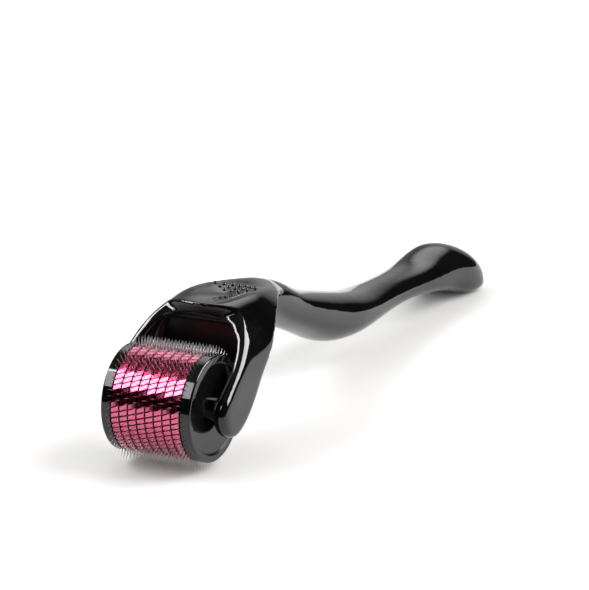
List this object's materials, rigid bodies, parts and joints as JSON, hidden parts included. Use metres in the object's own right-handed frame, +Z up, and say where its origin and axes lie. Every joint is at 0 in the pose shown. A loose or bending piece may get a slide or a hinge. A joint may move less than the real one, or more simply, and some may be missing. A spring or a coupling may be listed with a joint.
{
  "type": "derma roller",
  "caption": "Hand-held skin roller: an S-curved glossy handle with a hooded fork carries a freely spinning drum of stacked rings set with rows of fine steel needles.",
  "frame": {"origin": "middle of the bounding box in plan, on the surface the roller rests on", "axes": "+Z up, +Y along the handle from the roller to the tail, +X along the roller's axle"},
  "size_m": [0.0266, 0.1368, 0.0275],
  "materials": {
    "handle_black": "high gloss moulded black",
    "cap_black": "high gloss moulded black",
    "ring_pink": "glossy tinted pink",
    "core_white": "natural moulded",
    "needle_steel": "bright drawn wire"
  },
  "bodies": {
    "handle_body": {"handle": "handle_black"},
    "roller_body": {"roller_core": "core_white", "ring_1": "ring_pink", "ring_2": "ring_pink", "ring_3": "ring_pink", "ring_4": "ring_pink", "ring_5": "ring_pink", "ring_6": "ring_pink", "ring_7": "ring_pink", "ring_8": "ring_pink", "needle_row_1": "needle_steel", "needle_row_2": "needle_steel", "needle_row_3": "needle_steel", "needle_row_4": "needle_steel", "needle_row_5": "needle_steel", "needle_row_6": "needle_steel", "needle_row_7": "needle_steel", "needle_row_8": "needle_steel", "needle_row_9": "needle_steel", "left_end_cap": "cap_black", "right_end_cap": "cap_black"}
  },
  "joints": [
    {"name": "roller_spin", "type": "hinge", "parent": "handle_body", "child": "roller_body", "pos_m": [0, -0.0569, 0.0115], "axis": [1, 0, 0], "continuous": true}
  ]
}
